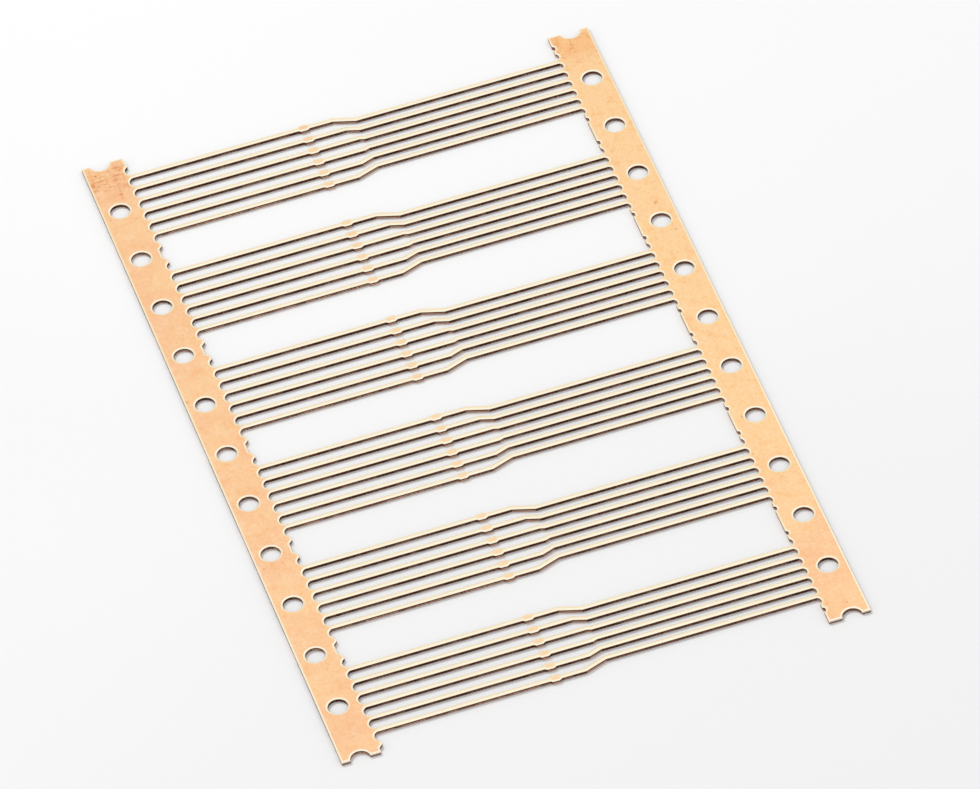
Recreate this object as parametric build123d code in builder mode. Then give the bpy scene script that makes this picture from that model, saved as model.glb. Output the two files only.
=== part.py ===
import os
from math import copysign, radians, tan

from build123d import *

# Stamped lead frame strip: two rails with pilot holes, joined by groups of thin leads.
# Millimetres. X runs across the strip and Y along it. The underside lies at Z = 0.

# Sheet and rails
strip_thickness = 0.4
row_spacing = 50.0          # from one row of pilot holes to the other
rail_margin = 1.9           # from a row of pilot holes to the rail's outer edge
pilot_radius = 1.0
end_trim = 0.1              # each end is cut this far inside its last row of pilot holes

# Leads, with the wide pitch on the -X side and the narrow pitch on the +X side
group_count = 6
lead_count = 6
lead_width = 0.5
wide_pitch = 1.778
narrow_pitch = 1.455
stub_spacing = 2.554        # between the two cut-off leads on a window's wide side

# Step from the wide pitch to the narrow one: every lead ends its slanted run at one X
joggle_angle = 20.0
joggle_end_x = 1.0

# Six-sided ear on each lead
ear_lead_in = 3.07          # from the ears' middle to where the first slanted run starts
ear_width = 0.87
ear_base = 1.2
ear_crown = 0.68

# Slots end this far inside the rows of pilot holes, in an arc this deep
wide_slot_inset = 2.1
narrow_slot_inset = 2.15
wide_slot_round = 0.437
narrow_slot_round = 0.32

# What the windows leave of the cut-off leads, and the small bites in their edges
wide_stub_length = 0.4
narrow_stub_length = 0.25
notch_mouth = 0.65
notch_floor = 0.35
end_edge_slant = 0.15       # slant of the plain inner edge at the upper end of the wide side

# Each group spans two pilot pitches, and a window is centred on each border between groups
group_spacing = (lead_count + 1) * wide_pitch + stub_spacing
pilot_pitch = group_spacing / 2
pilot_count = 2 * group_count - 1
strip_width = row_spacing + 2 * rail_margin
strip_length = group_count * group_spacing - 2 * end_trim

# Leads are told apart by their level: how many pitches they lie above their group's middle
outer_level = (lead_count - 1) / 2
pitch_step = wide_pitch - narrow_pitch
longest_run = outer_level * abs(pitch_step) / tan(radians(joggle_angle))
ear_x = joggle_end_x - longest_run - ear_lead_in

wide_slot_x = wide_slot_inset - row_spacing / 2
narrow_slot_x = row_spacing / 2 - narrow_slot_inset
wide_window_x = wide_slot_x + wide_stub_length
narrow_window_x = narrow_slot_x - narrow_stub_length
wide_stub_edge = (stub_spacing - lead_width) / 2
narrow_stub_edge = pilot_pitch - (outer_level + 1) * narrow_pitch - lead_width / 2


def lead_edge(level, side, middle=0.0):
    """Corners along a lead from -X to +X: side 1 is its upper edge, -1 its lower edge."""
    wide_y = middle + level * wide_pitch + side * lead_width / 2
    narrow_y = middle + level * narrow_pitch + side * lead_width / 2
    ear_y = middle + level * wide_pitch + side * ear_width / 2
    step = level * pitch_step
    run = abs(step) / tan(radians(joggle_angle))
    mitre = side * copysign(lead_width / 2 * tan(radians(joggle_angle / 2)), step)
    return [
        (ear_x - ear_base / 2, wide_y),
        (ear_x - ear_crown / 2, ear_y),
        (ear_x + ear_crown / 2, ear_y),
        (ear_x + ear_base / 2, wide_y),
        (joggle_end_x - run + mitre, wide_y),
        (joggle_end_x + mitre, narrow_y),
    ]


def slot_middle(level, middle):
    """Corners along the middle of the slot at a level, from -X to +X."""
    run = abs(level * pitch_step) / tan(radians(joggle_angle))
    wide_y = middle + level * wide_pitch
    narrow_y = middle + level * narrow_pitch
    return [
        (wide_window_x, wide_y),
        (joggle_end_x - run, wide_y),
        (joggle_end_x, narrow_y),
        (narrow_window_x, narrow_y),
    ]


# The slots of one group about its middle, out to the leads that the windows cut off
with BuildSketch() as group_slots:
    for slot in range(lead_count + 1):
        level = slot - outer_level - 1
        upper = lead_edge(level + 1, -1)
        lower = lead_edge(level, 1)
        with BuildLine():
            roof = Polyline(
                (wide_slot_x + wide_slot_round, upper[0][1]),
                *upper,
                (narrow_slot_x - narrow_slot_round, upper[-1][1]),
            )
            floor = Polyline(
                (wide_slot_x + wide_slot_round, lower[0][1]),
                *lower,
                (narrow_slot_x - narrow_slot_round, lower[-1][1]),
            )
            ThreePointArc(roof @ 0, (wide_slot_x, (level + 0.5) * wide_pitch), floor @ 0)
            ThreePointArc(roof @ 1, (narrow_slot_x, (level + 0.5) * narrow_pitch), floor @ 1)
        make_face()

# The window between two groups about its own middle, which cuts off one lead of each
with BuildSketch() as window:
    with BuildLine():
        Polyline(
            *slot_middle(-outer_level - 0.5, pilot_pitch),
            *reversed(slot_middle(outer_level + 0.5, -pilot_pitch)),
            close=True,
        )
    make_face()
    for side in (1, -1):
        with BuildLine():
            Polyline(
                (narrow_window_x, side * narrow_stub_edge),
                (narrow_slot_x, side * (narrow_stub_edge - (notch_mouth - notch_floor) / 2)),
                (narrow_slot_x, side * (narrow_stub_edge - (notch_mouth + notch_floor) / 2)),
                (narrow_window_x, side * (narrow_stub_edge - notch_mouth)),
                close=True,
            )
        make_face()

# The scallop between the two cut-off leads on the wide side of a window
with BuildSketch() as scallop:
    with BuildLine():
        Polyline(
            (wide_window_x, wide_stub_edge),
            (wide_slot_x, wide_stub_edge - wide_stub_length),
            (wide_slot_x, wide_stub_length - wide_stub_edge),
            (wide_window_x, -wide_stub_edge),
            close=True,
        )
    make_face()

# The strip: the windows run out through both ends, and so do the last pilot holes
with BuildPart() as lead_frame:
    with BuildSketch():
        Rectangle(strip_width, strip_length)
        with GridLocations(row_spacing, pilot_pitch, 2, pilot_count + 2):
            Circle(pilot_radius, mode=Mode.SUBTRACT)
        with GridLocations(0, group_spacing, 1, group_count):
            add(group_slots.sketch, mode=Mode.SUBTRACT)
        with GridLocations(0, group_spacing, 1, group_count + 1) as window_places:
            add(window.sketch, mode=Mode.SUBTRACT)
        # At the upper end the wide side has no scallop: its edge runs on with a slight slant
        with Locations(*window_places.locations[:-1]):
            add(scallop.sketch, mode=Mode.SUBTRACT)
        with BuildLine():
            Polyline(
                (wide_window_x, group_count * pilot_pitch - wide_stub_edge),
                (wide_window_x - end_edge_slant, strip_length / 2),
                (wide_window_x, strip_length / 2),
                close=True,
            )
        make_face(mode=Mode.SUBTRACT)
    extrude(amount=strip_thickness)

lead_frame.part.label = "lead_frame"
os.makedirs("parts", exist_ok=True)
export_step(lead_frame.part, "parts/lead_frame.step")
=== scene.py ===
"""Looks of the lead frame strip: punched copper, a pale floor, soft light and the camera. Metres."""

from math import atan2, cos, pi, radians, sin

import bpy
from mathutils import Matrix, Vector
from mathutils.geometry import delaunay_2d_cdt


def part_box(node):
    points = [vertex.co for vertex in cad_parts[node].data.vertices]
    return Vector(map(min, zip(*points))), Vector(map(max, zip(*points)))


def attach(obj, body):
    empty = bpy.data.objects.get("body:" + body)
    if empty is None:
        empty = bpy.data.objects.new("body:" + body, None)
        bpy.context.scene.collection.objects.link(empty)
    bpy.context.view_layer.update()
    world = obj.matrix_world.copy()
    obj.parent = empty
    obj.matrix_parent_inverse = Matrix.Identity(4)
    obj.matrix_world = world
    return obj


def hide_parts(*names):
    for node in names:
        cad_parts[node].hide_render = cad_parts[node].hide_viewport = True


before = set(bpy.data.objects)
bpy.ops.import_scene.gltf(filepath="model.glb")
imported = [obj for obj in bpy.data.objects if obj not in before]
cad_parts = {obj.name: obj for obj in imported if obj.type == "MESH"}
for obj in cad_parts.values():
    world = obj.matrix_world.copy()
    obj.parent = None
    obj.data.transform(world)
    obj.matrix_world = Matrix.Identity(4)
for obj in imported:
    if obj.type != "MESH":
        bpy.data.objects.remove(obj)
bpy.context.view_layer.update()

MM = 0.001
cad_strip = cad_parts["lead_frame"]
low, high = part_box("lead_frame")
TOP_CENTRE = Vector(((low.x + high.x) / 2, (low.y + high.y) / 2, high.z))

# Cut edges, in millimetres. The punch rolls the upper edge down over a quarter of an ellipse, shears
# the wall straight below it and tears the foot back a little, at these points: inset, height
THICKNESS = 0.4
ROLL_WIDTH = 0.2
ROLL_DROP = 0.072
ROLL_STEPS = 8
TORN_FOOT = ((0.0, 0.17), (0.012, 0.018), (0.028, 0.0))
SHARP_ANGLE = radians(15)

# Points of the CAD mesh are one place, or lie at one height, if they agree this closely in millimetres
PLACE_DECIMALS = 5
HEIGHT_ERROR = 0.001

# Colours, linear
FACE = (0.930, 0.605, 0.335, 1)
FACE_DEEP = (0.900, 0.470, 0.200, 1)
FACE_PINK = (0.915, 0.560, 0.325, 1)
FACE_PALE = (0.950, 0.670, 0.420, 1)
FACE_GOLD = (0.935, 0.635, 0.340, 1)
LEAD_TOP = (0.905, 0.795, 0.555, 1)
# Painted highlight on the rolled edge: pale cream, warmer where the edge faces +Y
PAINTED_RIM_HIGHLIGHT = (0.910, 0.845, 0.680, 1)
PAINTED_RIM_HIGHLIGHT_WARM = (0.920, 0.780, 0.525, 1)
# Painted dark reflection on the walls: dark brown in place of the dark surroundings they mirror, with
# lighter upright streaks
PAINTED_DARK_WALL = (0.062, 0.013, 0.003, 1)
PAINTED_DARK_WALL_STREAK = (0.230, 0.062, 0.018, 1)
GLINT = (0.820, 0.500, 0.350, 1)
SHEARED = (0.900, 0.740, 0.640, 1)
TORN = (0.420, 0.270, 0.210, 1)
TARNISH = (0.660, 0.215, 0.060, 1)
FLOOR = (0.970, 0.970, 0.970, 1)
FLOOR_SHADE = (0.950, 0.950, 0.950, 1)
WHITE = (1, 1, 1, 1)

# Middle of the ears in X, and the distance from one group of leads to the next in Y, in millimetres
EAR_X = -4.289
GROUP_PITCH = 15.0

# Heights, in millimetres, at which each look begins to show and at which it is full
UPPER_FACE = (0.3984, 0.3999)
LOWER_FACE = (0.003, 0.0002)
WALL_TOP = (0.352, 0.334)
WALL_FOOT = (0.0, 0.004)
GLINT_TOP = (0.24, 0.15)
GLINT_FOOT = (0.015, 0.08)
SHEAR_FOOT = (0.20, 0.26)
DARK_FOOT = (0.10, 0.05)
STAINED_SIDE = (0.3, 0.39)

# The same across the strip, in X or, for the ears, in distance from their middle
EAR_EDGE = (0.38, 0.62)
EAR_FRONT = (0.45, 0.30)
WIDE_SIDE = (EAR_X + 2, EAR_X - 1)
JOGGLES_START = (-1.6, -1.4)
JOGGLES_END = (1.4, 1.2)
LEADS_END = (23.0, 21.8)
SLOTS_START = (22.0, 22.5)
SLOTS_END = (23.2, 23.0)
LEFT_TO_RIGHT = (-5, 5)
GOLD_ACROSS = (5, 24)

# The same along the strip, in Y or, for the lowest lead, in distance from its group's middle
LOWEST_LEAD = (-3.3, -3.5)
GOLD_ALONG = (-38, -18)
DEEP_END = (39.5, 42.5)
STAINED_END = (38.0, 41.5)
CUT_END = (44.86, 44.89)

# Tarnish marks on the upper face, in millimetres: x, y, half width, half length, strength
MARKS = (
    (-25.92, 43.28, 0.16, 0.17, 0.95),
    (-25.35, 43.02, 0.45, 0.12, 0.40),
    (-25.75, 42.42, 0.85, 0.12, 0.75),
    (-26.55, 42.05, 0.28, 0.36, 0.65),
    (-25.90, 41.90, 0.55, 0.10, 0.45),
    (-24.45, 43.40, 0.10, 0.70, 0.35),
    (-23.70, 43.80, 0.32, 0.20, 0.65),
    (-23.25, 43.35, 0.30, 0.22, 0.60),
    (-23.80, 42.62, 0.52, 0.14, 0.65),
    (-24.05, 41.95, 0.75, 0.10, 0.35),
    (-24.10, 40.75, 0.12, 0.85, 0.40),
    (-24.25, 39.85, 0.17, 0.18, 0.80),
    (-24.15, 39.35, 0.10, 0.30, 0.40),
    (-23.15, 40.85, 0.16, 0.50, 0.45),
    (-26.25, 36.48, 0.12, 0.12, 0.55),
    (-26.55, 8.40, 0.14, 0.16, 0.50),
    (24.56, 43.15, 0.08, 0.85, 0.60),
    (24.40, 42.45, 0.14, 0.16, 0.60),
    (23.25, 43.55, 0.25, 0.50, 0.35),
    (23.30, 41.32, 0.18, 0.14, 0.55),
    (25.30, 43.90, 0.10, 0.40, 0.40),
    (26.45, 43.55, 0.12, 0.45, 0.35),
    (25.30, 17.60, 0.22, 0.28, 0.45),
    (22.85, 17.30, 0.20, 0.25, 0.40),
    (25.04, -43.10, 0.10, 0.10, 0.40),
    (23.20, -42.60, 0.14, 0.16, 0.25),
)

# Floor and world
FLOOR_REACH = 3.0
FLOOR_DROP = 0.01 * MM
SOFT_LIGHT = 0.64
SEEN_WHITE = 1.0

# Camera, at the photograph's viewing angle in degrees
AZIMUTH = -12.49
ELEVATION = 44.08
ROLL = -7.21
DISTANCE = 1.30504
FOCAL_PIXELS = 13213.3
IMAGE_WIDTH = 980
SENSOR_WIDTH = 36
SLIDE_RIGHT = 2.182 * MM
SLIDE_UP = -0.965 * MM


class Graph:
    """Makes and links the nodes of a material or a world."""

    def __init__(self, owner):
        self.owner = owner
        owner.use_nodes = True
        self.tree = owner.node_tree
        self.tree.nodes.clear()

    def node(self, kind, inputs=None, **settings):
        made = self.tree.nodes.new(kind)
        for key, value in settings.items():
            setattr(made, key, value)
        for key, value in (inputs or {}).items():
            self.put(value, made.inputs[key])
        return made

    def put(self, value, socket):
        if isinstance(value, bpy.types.NodeSocket):
            self.tree.links.new(value, socket)
        else:
            socket.default_value = value

    def math(self, operation, a, b=0.0):
        return self.node("ShaderNodeMath", {0: a, 1: b}, operation=operation).outputs[0]

    def times(self, a, b):
        return self.math("MULTIPLY", a, b)

    def larger(self, a, b):
        return self.math("MAXIMUM", a, b)

    def absolute(self, value):
        return self.math("ABSOLUTE", value)

    def vector(self, operation, a, b):
        return self.node("ShaderNodeVectorMath", {0: a, 1: b}, operation=operation).outputs[0]

    def scaled(self, vector, factor):
        return self.node("ShaderNodeVectorMath", {0: vector, "Scale": factor}, operation="SCALE").outputs[0]

    def split(self, vector):
        return self.node("ShaderNodeSeparateXYZ", {0: vector}).outputs

    def ramp(self, value, start, end, low=0.0, high=1.0):
        """Goes smoothly from low to high as the value goes from start to end."""
        inputs = {"Value": value, "From Min": start, "From Max": end, "To Min": low, "To Max": high}
        return self.node("ShaderNodeMapRange", inputs, interpolation_type="SMOOTHSTEP").outputs["Result"]

    def noise(self, vector, scale, detail=2.0, rough=0.5, stretch=(1, 1, 1)):
        """Noise from 0 to 1. A larger stretch makes it finer along that axis."""
        moved = self.node("ShaderNodeMapping", {"Vector": vector, "Scale": stretch}).outputs[0]
        inputs = {"Vector": moved, "Scale": scale, "Detail": detail, "Roughness": rough}
        return self.node("ShaderNodeTexNoise", inputs).outputs["Fac"]

    def mix(self, factor, a, b):
        made = self.node("ShaderNodeMix", {"Factor": factor}, data_type="RGBA")
        for name, value in (("A", a), ("B", b)):
            self.put(value, next(s for s in made.inputs if s.name == name and s.type == "RGBA"))
        return next(s for s in made.outputs if s.type == "RGBA")


class Copper(Graph):
    """The strip's material. Its noises are laid out in millimetres."""

    def __init__(self):
        super().__init__(bpy.data.materials.new("lead_frame_copper"))
        coords = self.node("ShaderNodeTexCoord").outputs["Object"]
        self.place = self.scaled(coords, 1 / MM)
        self.x, self.y, self.z = self.split(self.place)
        self.from_ear = self.absolute(self.math("SUBTRACT", self.x, EAR_X))
        normal = self.node("ShaderNodeNewGeometry").outputs["Normal"]
        self.toward_x, self.toward_y, _ = self.split(normal)
        self.broad = self.noise(self.place, 0.16, 2)
        self.fine = self.noise(self.place, 3.2, 4, 0.6)
        self.streaks = self.noise(self.place, 1.0, 4, 0.7, (6.5, 6.5, 1.2))

    def face(self):
        """Colour of the rails: peach, with mottling, faint rolling lines along Y and a few specks."""
        blotch = self.noise(self.place, 0.8, 5, 0.68)
        grain = self.noise(self.place, 1.0, 3, 0.6, (5.5, 0.35, 1))
        gold = self.times(self.ramp(self.x, *GOLD_ACROSS), self.ramp(self.y, *GOLD_ALONG))
        colour = self.mix(self.ramp(self.broad, 0.35, 0.65), FACE, FACE_PINK)
        colour = self.mix(gold, colour, FACE_GOLD)
        colour = self.mix(self.ramp(blotch, 0.50, 0.32, 0, 0.55), colour, FACE_PALE)
        colour = self.mix(self.ramp(blotch, 0.52, 0.70, 0, 0.50), colour, FACE_DEEP)
        colour = self.mix(self.ramp(grain, 0.42, 0.72, 0, 0.14), colour, FACE_DEEP)
        colour = self.mix(self.ramp(self.fine, 0.42, 0.70, 0, 0.28), colour, FACE_DEEP)

        cells = self.node("ShaderNodeTexVoronoi", {"Vector": self.place, "Scale": 0.42}).outputs
        chance = self.split(cells["Color"])["X"]
        speck = self.times(self.ramp(cells["Distance"], 0.10, 0.03), self.ramp(chance, 0.55, 0.75, 0, 0.45))
        return self.mix(speck, colour, TARNISH)

    def end_bloom(self):
        """How much deeper the face is at the +Y ends."""
        cloud = self.noise(self.place, 1.1, 3)
        bloom = self.times(self.ramp(self.y, *DEEP_END), self.ramp(cloud, 0.35, 0.55, 0.55, 1))
        return self.times(bloom, self.ramp(self.x, *LEFT_TO_RIGHT, 0.22, 0.62))

    def stains(self):
        """How much tarnish covers the upper face: crossing lines at the +Y ends, and the marks."""
        wobble = self.node("ShaderNodeTexNoise", {"Vector": self.place, "Scale": 2.4, "Detail": 3})
        shift = self.vector("SUBTRACT", wobble.outputs["Color"], (0.5, 0.5, 0.5))
        bent = self.vector("ADD", self.place, self.scaled(shift, 0.55))
        across = self.ramp(self.noise(bent, 1.0, 3, 0.6, (1.1, 5.0, 1)), 0.52, 0.68, 0, 0.62)
        along = self.ramp(self.noise(bent, 1.0, 3, 0.6, (5.0, 0.9, 1)), 0.53, 0.69, 0, 0.42)
        stain = self.times(self.larger(across, along), self.ramp(self.y, *STAINED_END))
        stain = self.times(stain, self.ramp(self.x, *LEFT_TO_RIGHT, 1, 0.6))
        for mark_x, mark_y, wide, long, strength in MARKS:
            moved = self.vector("SUBTRACT", bent, (mark_x, mark_y, 0))
            shaped = self.vector("MULTIPLY", moved, (1 / wide, 1 / long, 0))
            reach = self.node("ShaderNodeVectorMath", {0: shaped}, operation="LENGTH").outputs["Value"]
            stain = self.larger(stain, self.ramp(reach, 1.5, 0.3, 0, strength))
        stain = self.times(stain, self.ramp(self.z, *STAINED_SIDE))
        return self.times(stain, self.ramp(self.fine, 0.30, 0.50, 0.5, 1))

    def lead_tops(self):
        """Where the leads' paler tops show: between the rails, and less on the ears."""
        between = self.ramp(self.absolute(self.x), *LEADS_END)
        return self.times(between, self.ramp(self.from_ear, *EAR_EDGE, 0.4, 0.95))

    def dashes(self):
        """Broken highlights along the leads' walls, strongest on each group's lowest lead."""
        level = self.math("SUBTRACT", self.math("FLOORED_MODULO", self.y, GROUP_PITCH), GROUP_PITCH / 2)
        lowest = self.times(self.ramp(level, *LOWEST_LEAD), self.ramp(self.x, *WIDE_SIDE, 0.45, 1))
        run = self.noise(self.place, 1.0, 3, 0.6, (0.55, 2.0, 2.0))
        on_lowest = self.times(lowest, self.ramp(run, 0.38, 0.55, 0.35, 0.9))
        anywhere = self.ramp(run, 0.46, 0.62, 0.05, 0.45)
        return self.times(self.larger(anywhere, on_lowest), self.ramp(self.streaks, 0.35, 0.55, 0.45, 1))

    def glints(self):
        """Bright band low on the walls: dashes, and whole on ears, slanted runs and slot ends."""
        slant = self.times(self.ramp(self.x, *JOGGLES_START), self.ramp(self.x, *JOGGLES_END))
        slant = self.times(slant, self.ramp(self.absolute(self.toward_x), 0.15, 0.3, 0, 0.8))
        ear_front = self.ramp(self.from_ear, *EAR_FRONT, 0, 0.95)
        slot_end = self.times(self.ramp(self.x, *SLOTS_START), self.ramp(self.x, *SLOTS_END))
        slot_end = self.times(slot_end, self.ramp(self.toward_x, -0.30, -0.70, 0, 0.9))
        bright = self.larger(self.larger(self.dashes(), slant), self.larger(ear_front, slot_end))
        band = self.times(self.ramp(self.z, *GLINT_FOOT), self.ramp(self.z, *GLINT_TOP))
        return self.times(bright, band)

    def walls(self):
        """Colour of the walls: painted dark reflection with upright streaks, and bare metal where the strip
        was cut off.
        """
        # Painted dark reflection, with lighter upright streaks
        colour = self.mix(self.ramp(self.streaks, 0.40, 0.72), PAINTED_DARK_WALL, PAINTED_DARK_WALL_STREAK)
        colour = self.mix(self.glints(), colour, GLINT)
        cut = self.mix(self.ramp(self.z, *SHEAR_FOOT), TORN, SHEARED)
        # The foot of the cut ends darkens to the same painted dark reflection as the walls
        cut = self.mix(self.ramp(self.z, *DARK_FOOT), cut, PAINTED_DARK_WALL)
        return self.mix(self.ramp(self.absolute(self.y), *CUT_END), colour, cut)

    def bump(self):
        """Fine grain and rolling lines."""
        lines = self.noise(self.place, 1.0, 2, 0.5, (26, 0.9, 1))
        height = self.math("ADD", self.times(self.fine, 0.6), self.times(lines, 0.5))
        inputs = {"Height": height, "Strength": 0.12, "Distance": 0.02 * MM}
        return self.node("ShaderNodeBump", inputs).outputs[0]

    def material(self):
        """Puts the looks together, with a painted highlight on the rolled edge between the face and the
        wall.
        """
        on_face = self.larger(self.ramp(self.z, *UPPER_FACE), self.ramp(self.z, *LOWER_FACE))
        on_wall = self.times(self.ramp(self.z, *WALL_TOP), self.ramp(self.z, *WALL_FOOT))
        face = self.mix(self.end_bloom(), self.face(), FACE_DEEP)
        face = self.mix(self.stains(), face, TARNISH)
        face = self.mix(self.lead_tops(), face, LEAD_TOP)
        # Painted highlight on the rolled edge, warmer where it faces +Y
        rim_highlight = self.mix(self.ramp(self.toward_y, -0.15, 0.1), PAINTED_RIM_HIGHLIGHT, PAINTED_RIM_HIGHLIGHT_WARM)
        colour = self.mix(on_face, rim_highlight, face)
        colour = self.mix(on_wall, colour, self.walls())
        rough = self.ramp(self.math("ADD", self.broad, self.fine), 0.7, 1.3, 0.32, 0.46)
        rough = self.math("ADD", rough, self.times(on_wall, 0.15))
        inputs = {"Base Color": colour, "Metallic": 1.0, "Roughness": rough, "Normal": self.bump()}
        shader = self.node("ShaderNodeBsdfPrincipled", inputs)
        self.node("ShaderNodeOutputMaterial", {"Surface": shader.outputs[0]})
        return self.owner


def floor_material():
    graph = Graph(bpy.data.materials.new("pale_floor"))
    cloud = graph.noise(graph.node("ShaderNodeTexCoord").outputs["Object"], 9.0, 2)
    colour = graph.mix(graph.ramp(cloud, 0.4, 0.6), FLOOR, FLOOR_SHADE)
    shader = graph.node("ShaderNodeBsdfPrincipled", {"Base Color": colour, "Roughness": 0.9})
    graph.node("ShaderNodeOutputMaterial", {"Surface": shader.outputs[0]})
    return graph.owner


def studio_world():
    """Even soft light, white where the camera or a polished face sees it."""
    graph = Graph(bpy.data.worlds.new("world"))
    path = graph.node("ShaderNodeLightPath").outputs
    seen = graph.larger(path["Is Camera Ray"], path["Is Glossy Ray"])
    seen = graph.larger(seen, path["Is Transmission Ray"])
    soft = graph.node("ShaderNodeBackground", {"Color": WHITE, "Strength": SOFT_LIGHT}).outputs[0]
    white = graph.node("ShaderNodeBackground", {"Color": WHITE, "Strength": SEEN_WHITE}).outputs[0]
    chosen = graph.node("ShaderNodeMixShader", {0: seen, 1: soft, 2: white}).outputs[0]
    graph.node("ShaderNodeOutputWorld", {"Surface": chosen})
    return graph.owner


def face_loops(mesh, height):
    """Closed outlines, in millimetres, of the mesh's faces at one height, with the metal on their left."""
    places = [(v.co.x / MM, v.co.y / MM, v.co.z / MM) for v in mesh.vertices]
    keys = [(round(x, PLACE_DECIMALS), round(y, PLACE_DECIMALS)) for x, y, _ in places]
    ways = set()
    for polygon in mesh.polygons:
        corners = list(polygon.vertices)
        if all(abs(places[c][2] - height) < HEIGHT_ERROR for c in corners):
            ways.update((keys[corners[i - 1]], keys[corners[i]]) for i in range(len(corners)))
    onward = {start: end for start, end in ways if (end, start) not in ways}
    loops = []
    while onward:
        loop = [min(onward)]
        while loop[-1] in onward:
            loop.append(onward.pop(loop[-1]))
        loops.append([Vector(p) for p in loop[:-1]])
    return loops


def inward(loop):
    """For each corner of a loop, the step that moves both its sides in by one."""
    steps = []
    for i, corner in enumerate(loop):
        before = (corner - loop[i - 1]).normalized()
        after = (loop[(i + 1) % len(loop)] - corner).normalized()
        first = Vector((-before.y, before.x))
        second = Vector((-after.y, after.x))
        steps.append((first + second) / (1 + first.dot(second)))
    return steps


def cap(rings):
    """Triangles, as vertex indices, that fill the metal between flat rings of (index, place)."""
    order = [index for ring in rings for index, _ in ring]
    places = [place for ring in rings for _, place in ring]
    border = set()
    start = 0
    for ring in rings:
        border.update((start + i, start + (i + 1) % len(ring)) for i in range(len(ring)))
        start += len(ring)
    found = delaunay_2d_cdt(places, sorted(border), [], 1, 1e-6)
    source = [olds[0] for olds in found[3]]
    triangles = [[source[i] for i in face] for face in found[2]]
    owner = {(face[i - 1], face[i]): face for face in triangles for i in range(3)}
    todo = [owner[edge] for edge in sorted(border)]
    kept = {}
    while todo:
        face = todo.pop()
        if tuple(face) not in kept:
            kept[tuple(face)] = [order[i] for i in face]
            sides = [(face[i - 1], face[i]) for i in range(3)]
            todo += [owner[b, a] for a, b in sides if (a, b) not in border]
    return list(kept.values())


def edge_profile():
    """Points down a cut edge, each as how far in from the outline it lies and how high."""
    points = []
    for step in range(ROLL_STEPS + 1):
        slope = pi / 2 * step / ROLL_STEPS
        turn = atan2(ROLL_WIDTH * sin(slope), ROLL_DROP * cos(slope))
        points.append((ROLL_WIDTH * (1 - sin(turn)), THICKNESS - ROLL_DROP * (1 - cos(turn))))
    return points + list(TORN_FOOT)


def strip_mesh(cad_mesh):
    """The strip with its real edge profile round every outline of the CAD model's upper face."""
    profile = edge_profile()
    points = []
    faces = []
    upper = []
    lower = []
    for loop in face_loops(cad_mesh, THICKNESS):
        steps = inward(loop)
        rings = []
        for inset, height in profile:
            flat = [corner + step * inset for corner, step in zip(loop, steps)]
            rings.append([(len(points) + i, p) for i, p in enumerate(flat)])
            points += [(p.x * MM, p.y * MM, height * MM) for p in flat]
        for above, below in zip(rings, rings[1:]):
            for i in range(len(loop)):
                j = (i + 1) % len(loop)
                faces.append((above[j][0], above[i][0], below[i][0], below[j][0]))
        upper.append(rings[0])
        lower.append(rings[-1])
    sides = len(faces)
    faces += cap(upper)
    faces += [face[::-1] for face in cap(lower)]
    mesh = bpy.data.meshes.new("lead_frame_strip")
    mesh.from_pydata(points, [], faces)
    mesh.set_sharp_from_angle(angle=SHARP_ANGLE)
    mesh.polygons.foreach_set("use_smooth", [i < sides for i in range(len(faces))])
    mesh.validate()
    return mesh


def floor_mesh():
    corners = [(-1, -1), (1, -1), (1, 1), (-1, 1)]
    mesh = bpy.data.meshes.new("floor")
    mesh.from_pydata([(x * FLOOR_REACH, y * FLOOR_REACH, 0) for x, y in corners], [], [(0, 1, 2, 3)])
    return mesh


def add_object(name, data):
    made = bpy.data.objects.new(name, data)
    bpy.context.scene.collection.objects.link(made)
    return made


def away(azimuth, elevation):
    """Direction from the strip, for angles in degrees. Azimuth 0 is on the -Y side."""
    turn = radians(azimuth)
    rise = radians(elevation)
    return Vector((sin(turn) * cos(rise), -cos(turn) * cos(rise), sin(rise)))


def add_lamp(name, azimuth, elevation, distance, size, power, seen_in_metal):
    light = bpy.data.lights.new(name, "AREA")
    light.shape = "DISK"
    light.size = size
    light.energy = power
    lamp = add_object(name, light)
    direction = away(azimuth, elevation)
    lamp.location = TOP_CENTRE + direction * distance
    lamp.rotation_euler = (-direction).to_track_quat("-Z", "Y").to_euler()
    lamp.visible_glossy = seen_in_metal


def add_camera():
    back = away(AZIMUTH, ELEVATION)
    level_right = (-back).cross(Vector((0, 0, 1))).normalized()
    level_up = level_right.cross(-back)
    roll = radians(ROLL)
    right = level_right * cos(roll) + level_up * sin(roll)
    up = level_up * cos(roll) - level_right * sin(roll)
    lens = bpy.data.cameras.new("camera")
    lens.sensor_fit = "HORIZONTAL"
    lens.sensor_width = SENSOR_WIDTH
    lens.lens = FOCAL_PIXELS * SENSOR_WIDTH / IMAGE_WIDTH
    lens.clip_start = 0.01
    lens.clip_end = 20
    camera = add_object("camera", lens)
    spot = TOP_CENTRE + back * DISTANCE + right * SLIDE_RIGHT + up * SLIDE_UP
    camera.matrix_world = Matrix.Translation(spot) @ Matrix((right, up, back)).transposed().to_4x4()
    return camera


# The strip
strip = add_object("lead_frame_strip", strip_mesh(cad_strip.data))
strip.data.materials.append(Copper().material())
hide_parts("lead_frame")
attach(strip, "root")

# Floor, light and camera
floor = add_object("floor", floor_mesh())
floor.location.z = -FLOOR_DROP
floor.data.materials.append(floor_material())
scene = bpy.context.scene
scene.world = studio_world()
add_lamp("key", azimuth=-158, elevation=50, distance=0.9, size=0.30, power=3.4, seen_in_metal=False)
add_lamp("sheen", azimuth=140, elevation=62, distance=1.2, size=0.9, power=0.45, seen_in_metal=True)
scene.camera = add_camera()
scene.view_settings.view_transform = "Standard"
